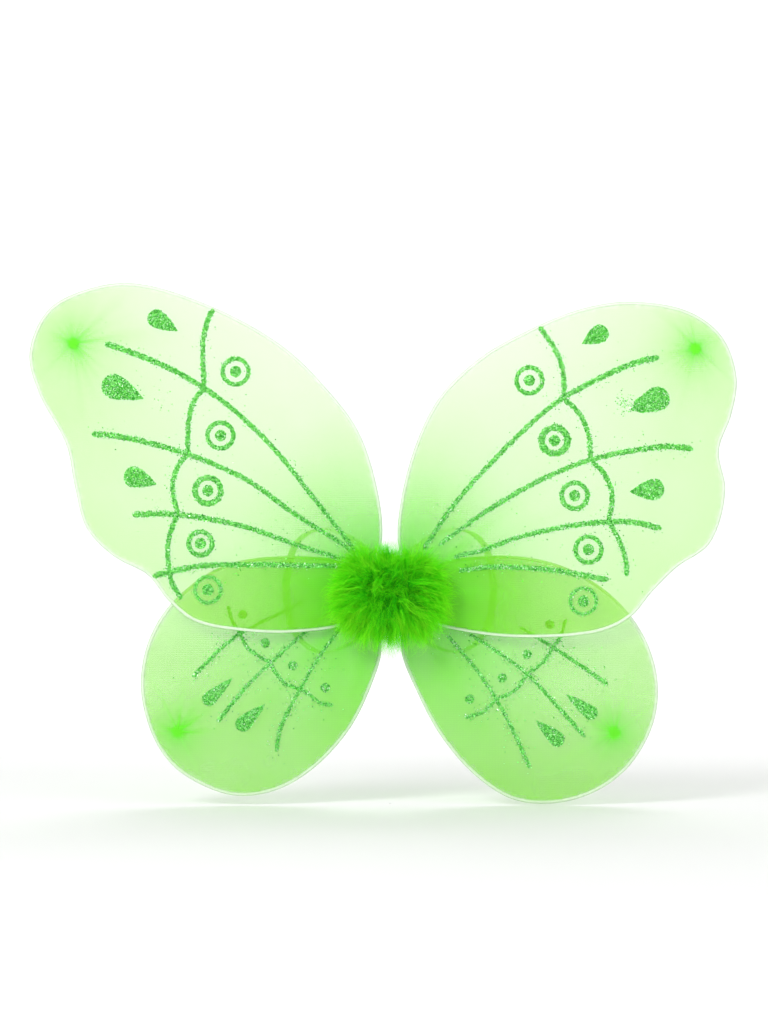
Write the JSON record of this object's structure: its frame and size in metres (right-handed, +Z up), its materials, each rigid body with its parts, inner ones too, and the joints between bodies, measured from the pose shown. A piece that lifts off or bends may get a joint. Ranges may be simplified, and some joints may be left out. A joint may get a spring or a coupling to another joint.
{
  "type": "fairy wings",
  "caption": "Wire-framed nylon butterfly wings in two layers with a feather pouf centre, back pad and elastic shoulder loops.",
  "frame": {"origin": "centre of the back pad's flat face, which rests on the wearer's back", "axes": "+Y out of the back pad towards the wearer, +Z up as worn, +X to the right as seen from the feathers, along the span"},
  "size_m": [0.5607, 0.1446, 0.4152],
  "materials": {
    "wire": "satin",
    "nylon": "satin",
    "gathered_nylon": "matte",
    "thread": "matte",
    "tape": "satin",
    "felt": "matte",
    "feather": "matte",
    "elastic": "matte"
  },
  "bodies": {
    "centre": {"back_pad": "felt", "core_binding": "tape", "core_wrap_upper": "tape", "core_wrap_lower": "tape", "front_disc": "felt", "pouf_left": "feather", "pouf_centre": "feather", "pouf_right": "feather", "left_strap_anchor_top": "elastic", "left_strap_anchor_bottom": "elastic", "right_strap_anchor_top": "elastic", "right_strap_anchor_bottom": "elastic"},
    "left_root": {"left_root_bundle": "tape"},
    "right_root": {"right_root_bundle": "tape"},
    "upper_left": {"upper_left_wire": "wire", "upper_left_nylon": "nylon", "upper_left_neck": "gathered_nylon", "upper_left_toe_knot": "gathered_nylon", "upper_left_toe_thread": "thread"},
    "upper_right": {"upper_right_wire": "wire", "upper_right_nylon": "nylon", "upper_right_neck": "gathered_nylon", "upper_right_toe_knot": "gathered_nylon", "upper_right_toe_thread": "thread"},
    "lower_left": {"lower_left_wire": "wire", "lower_left_nylon": "nylon", "lower_left_neck": "gathered_nylon", "lower_left_toe_knot": "gathered_nylon", "lower_left_toe_thread": "thread"},
    "lower_right": {"lower_right_wire": "wire", "lower_right_nylon": "nylon", "lower_right_neck": "gathered_nylon", "lower_right_toe_knot": "gathered_nylon", "lower_right_toe_thread": "thread"},
    "left_strap": {"left_strap": "elastic"},
    "right_strap": {"right_strap": "elastic"}
  },
  "joints": [
    {"name": "left_fold", "type": "hinge", "parent": "centre", "child": "left_root", "pos_m": [-0.015, -0.014, 0], "axis": [0, 0, 1], "range_deg": [-10, 72], "deforming": ["pouf_left"]},
    {"name": "right_fold", "type": "hinge", "parent": "centre", "child": "right_root", "pos_m": [0.015, -0.014, 0], "axis": [0, 0, -1], "range_deg": [-10, 72], "deforming": ["pouf_right"]},
    {"name": "upper_left_flap", "type": "hinge", "parent": "left_root", "child": "upper_left", "pos_m": [-0.01813, -0.01728, 0.0064], "axis": [0.2911, 0.0255, 0.9564], "range_deg": [0, 12]},
    {"name": "upper_right_flap", "type": "hinge", "parent": "right_root", "child": "upper_right", "pos_m": [0.01813, -0.01728, 0.0064], "axis": [0.2911, -0.0255, -0.9564], "range_deg": [0, 12]},
    {"name": "lower_left_flap", "type": "hinge", "parent": "left_root", "child": "lower_left", "pos_m": [-0.0185, -0.01112, -0.0064], "axis": [-0.292, -0.0102, 0.9564], "range_deg": [-15, 0]},
    {"name": "lower_right_flap", "type": "hinge", "parent": "right_root", "child": "lower_right", "pos_m": [0.0185, -0.01112, -0.0064], "axis": [-0.292, 0.0102, -0.9564], "range_deg": [-15, 0]},
    {"name": "left_strap_swing", "type": "hinge", "parent": "centre", "child": "left_strap", "pos_m": [-0.008, -0.002, 0], "axis": [0, 0, 1], "range_deg": [-30, 15]},
    {"name": "right_strap_swing", "type": "hinge", "parent": "centre", "child": "right_strap", "pos_m": [0.008, -0.002, 0], "axis": [0, 0, -1], "range_deg": [-30, 15]}
  ]
}
